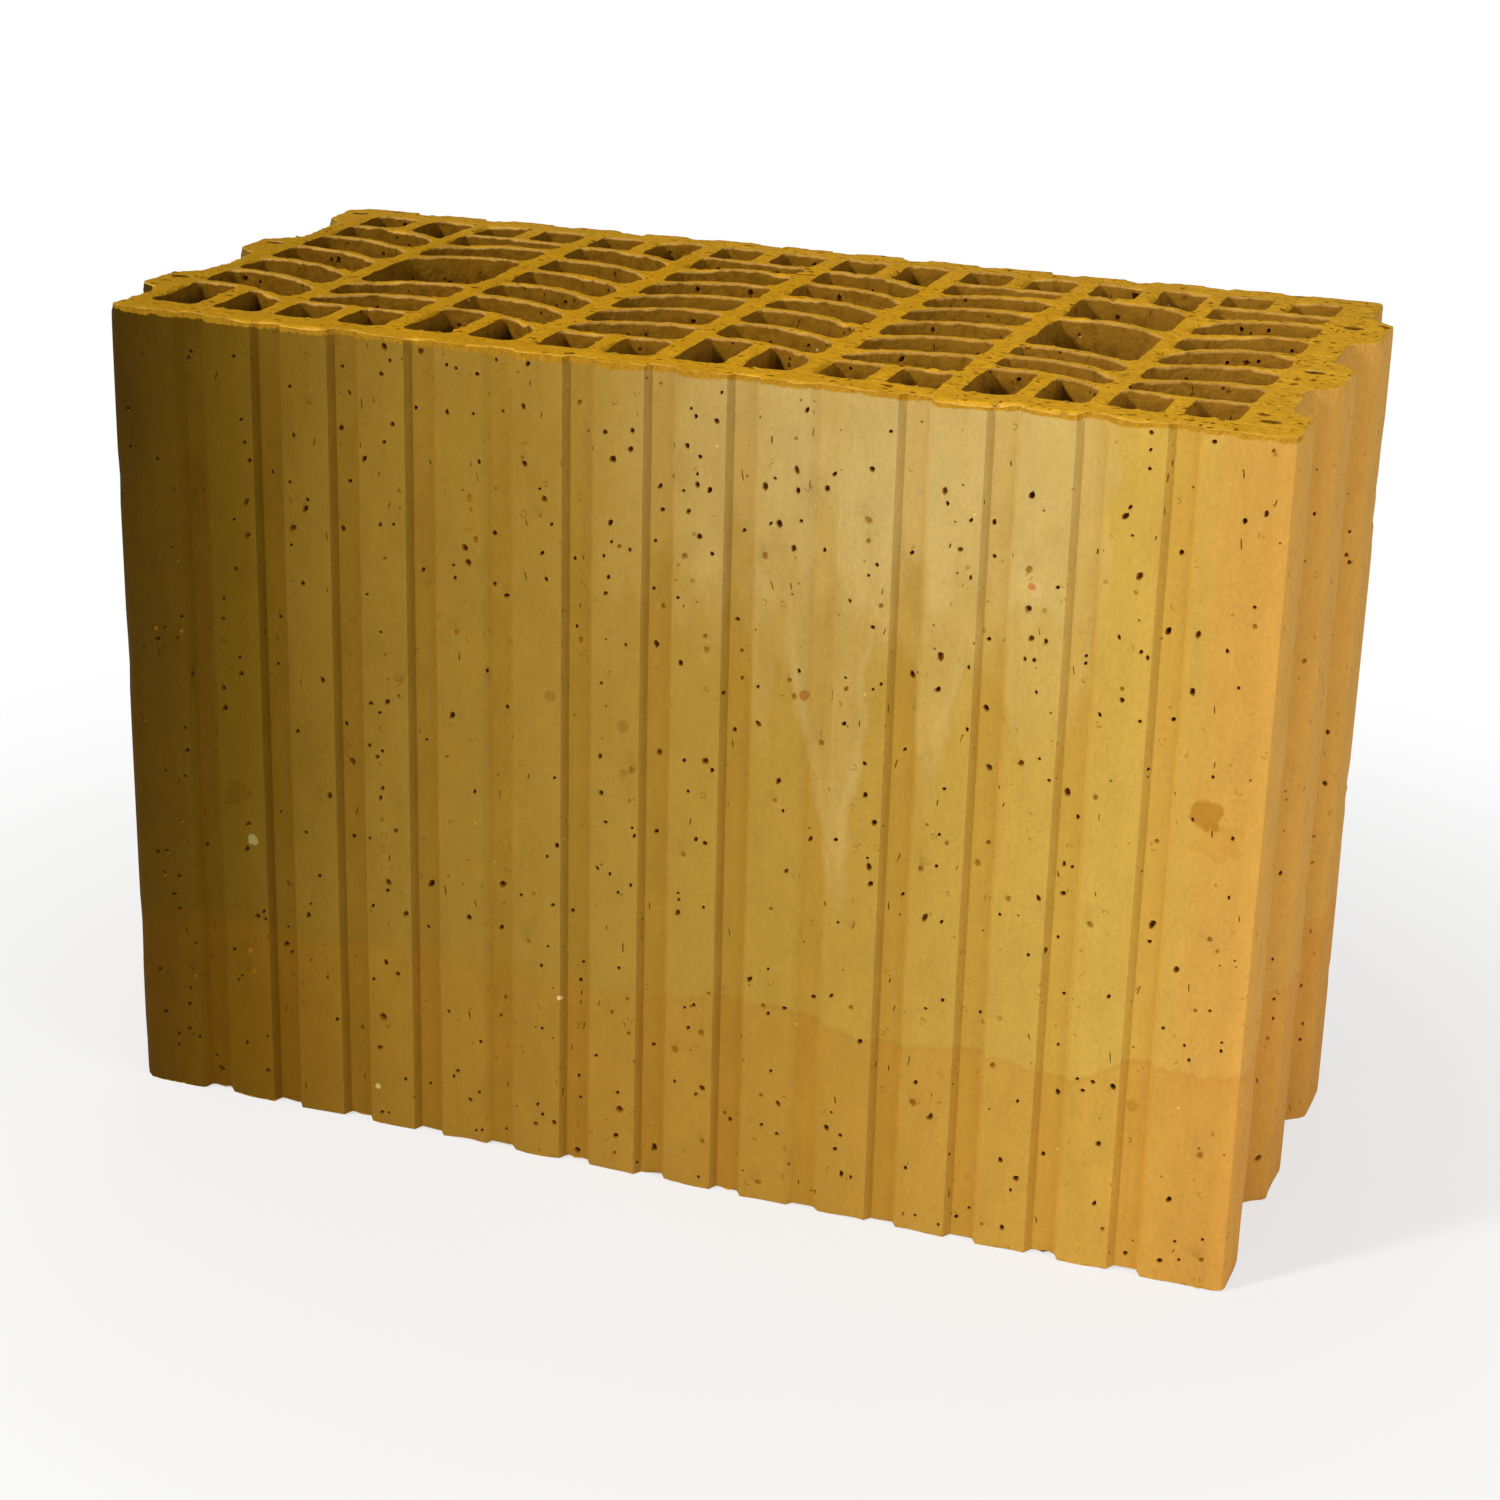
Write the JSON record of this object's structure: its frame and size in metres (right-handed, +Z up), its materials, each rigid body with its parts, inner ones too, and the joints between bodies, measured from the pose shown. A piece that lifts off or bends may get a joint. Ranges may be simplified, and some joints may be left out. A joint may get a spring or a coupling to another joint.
{
  "type": "perforated clay block",
  "caption": "Vertically perforated fired clay wall block with interlocking ends, plaster key grooves, arched web perforation and hand grip holes.",
  "frame": {"origin": "middle of the bed face that the block stands on", "axes": "+X along the wall, +Y through the wall to the rear plaster face, +Z up along the perforation"},
  "size_m": [0.3404, 0.165, 0.238],
  "materials": {
    "fired_clay": "rough, wire-cut and extruded ochre clay with burnt-out pores"
  },
  "bodies": {
    "root": {"clay_block": "fired_clay"}
  },
  "joints": []
}
